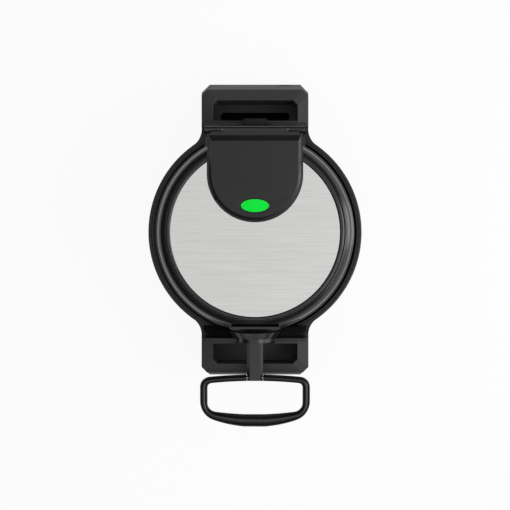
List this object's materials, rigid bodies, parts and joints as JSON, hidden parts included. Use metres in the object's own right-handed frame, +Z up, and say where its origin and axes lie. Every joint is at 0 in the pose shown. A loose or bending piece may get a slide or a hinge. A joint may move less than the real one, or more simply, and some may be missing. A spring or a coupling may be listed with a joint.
{
  "type": "donut maker",
  "caption": "Flip-over donut maker: round hinged head with ring moulds that turns in a base with two posts, with a loop handle and a drip tray.",
  "frame": {"origin": "on the table, under the middle of the bounding box", "axes": "+Z up, +Y to the rear where the hinge is, +X to the right seen from the handle"},
  "size_m": [0.2516, 0.3922, 0.1703],
  "materials": {
    "black_satin": "fine satin moulding",
    "black_gloss": "semi-gloss moulding",
    "black_grip": "smooth grip",
    "dark_bearing": "bearing plastic",
    "rubber": "soft rubber",
    "brushed_cover": "straight brushed",
    "nonstick": "dark non-stick coating on cast aluminium",
    "steel": "drawn steel",
    "shield": "pressed bright sheet",
    "green_lens": "clear green lens",
    "lamp_body": "white lamp holder"
  },
  "bodies": {
    "base": {"base_plate": "black_satin", "rubber_feet": "rubber", "base_bowl": "black_satin", "front_post": "black_satin", "rear_post": "black_satin", "front_panel": "black_satin", "rear_panel": "black_satin", "front_saddle": "dark_bearing", "rear_bearing": "dark_bearing", "rear_bearing_cap": "dark_bearing", "cord_gland": "dark_bearing"},
    "drip_tray": {"drip_tray": "black_satin"},
    "lower_head": {"lower_housing": "black_gloss", "lower_cover_disc": "brushed_cover", "lower_mould_plate": "nonstick", "lower_heating_element": "steel", "lower_heat_shield": "shield", "thermostat": "steel", "thermal_fuse": "steel", "rear_pivot_tube": "dark_bearing", "hinge_pin": "steel", "handle_stem": "black_gloss"},
    "lid": {"upper_housing": "black_gloss", "upper_cover_disc": "brushed_cover", "hinge_cover": "black_satin", "indicator_lens": "green_lens", "indicator_lamp": "lamp_body", "upper_mould_plate": "nonstick", "upper_heating_element": "steel", "upper_heat_shield": "shield", "latch_pin": "steel"},
    "latch": {"latch_lever": "black_gloss"},
    "handle": {"handle_loop": "black_grip", "handle_rod": "steel"}
  },
  "joints": [
    {"name": "head_turn", "type": "hinge", "parent": "base", "child": "lower_head", "pos_m": [0, 0.0181, 0.12199], "axis": [0, 1, 0], "range_deg": [-180, 0]},
    {"name": "lid_open", "type": "hinge", "parent": "lower_head", "child": "lid", "pos_m": [0, 0.12789, 0.14699], "axis": [-1, 0, 0], "range_deg": [0, 100]},
    {"name": "latch_rock", "type": "hinge", "parent": "lid", "child": "latch", "pos_m": [0, -0.08519, 0.14599], "axis": [1, 0, 0], "range_deg": [-12, 0], "stiffness_Nm_per_rad": 0.02},
    {"name": "handle_fold", "type": "hinge", "parent": "lower_head", "child": "handle", "pos_m": [0, -0.14209, 0.12199], "axis": [1, 0, 0], "range_deg": [0, 80]},
    {"name": "tray_lift", "type": "slide", "parent": "base", "child": "drip_tray", "axis": [0, 0, 1], "range_m": [0, 0.035]}
  ]
}
